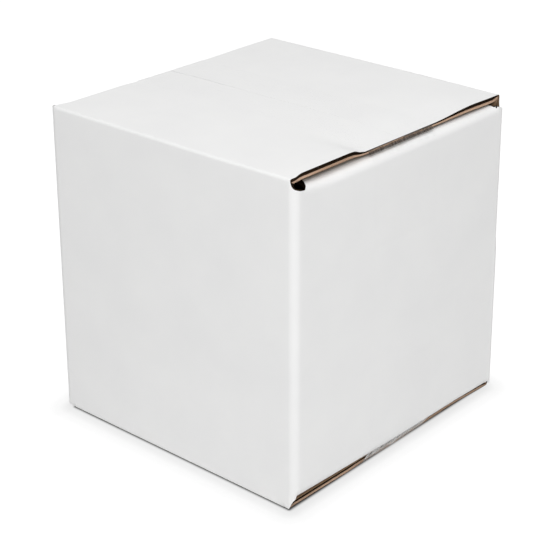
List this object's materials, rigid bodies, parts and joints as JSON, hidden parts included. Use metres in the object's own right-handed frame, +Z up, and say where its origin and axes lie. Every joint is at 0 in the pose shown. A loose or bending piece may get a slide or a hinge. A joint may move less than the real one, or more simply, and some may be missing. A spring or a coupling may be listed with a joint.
{
  "type": "corrugated shipping box",
  "caption": "Small cube-like slotted carton of white-faced corrugated board, closed and sealed along its top and bottom seams with clear tape.",
  "frame": {"origin": "on the floor under the middle of the closed carton", "axes": "+Z up, +X along the taped seams towards one end wall, +Y across the seams towards the back wall, whose left end has the glue joint"},
  "size_m": [0.1584, 0.1584, 0.1644],
  "materials": {
    "board": "matt white facing, brown at the cut edges and inside",
    "tape": "clear and glossy"
  },
  "bodies": {
    "root": {"carton": "board", "top_tape": "tape", "bottom_tape": "tape"}
  },
  "joints": []
}
